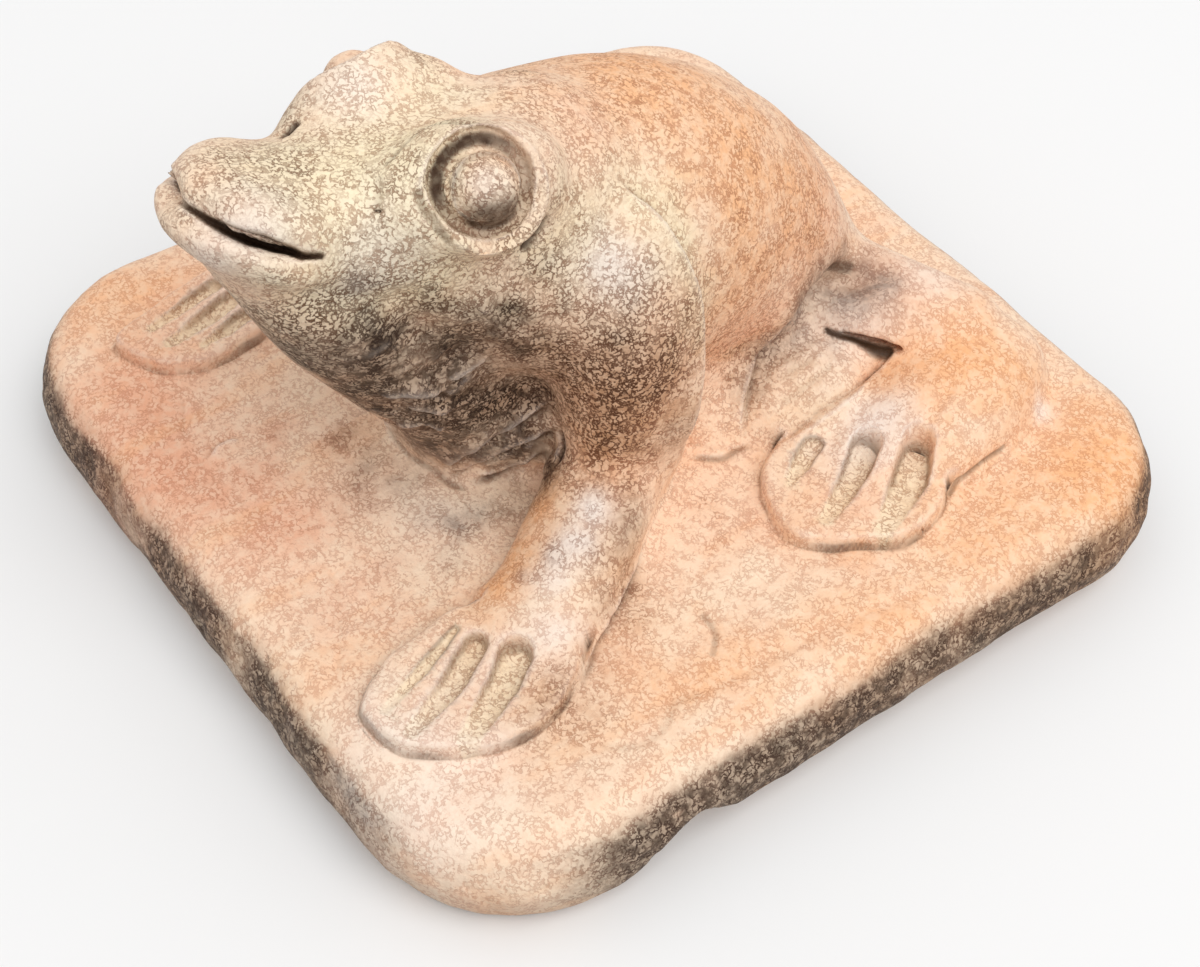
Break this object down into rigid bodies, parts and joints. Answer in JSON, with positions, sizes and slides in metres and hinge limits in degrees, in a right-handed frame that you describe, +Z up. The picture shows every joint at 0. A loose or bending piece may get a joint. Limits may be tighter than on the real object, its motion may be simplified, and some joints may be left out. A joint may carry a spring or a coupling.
{
  "type": "frog figurine",
  "caption": "Hand-modelled terracotta frog squatting on a square clay plaque with rounded corners, in one fired piece.",
  "frame": {"origin": "centre of the plaque's underside", "axes": "-Y is the way the frog looks, +X is its left side, +Z is up"},
  "size_m": [0.0999, 0.0998, 0.0638],
  "materials": {
    "fired_clay": "unglazed fired clay, pale orange with buff and smoked brown patches"
  },
  "bodies": {
    "root": {"frog_figurine": "fired_clay"}
  },
  "joints": []
}
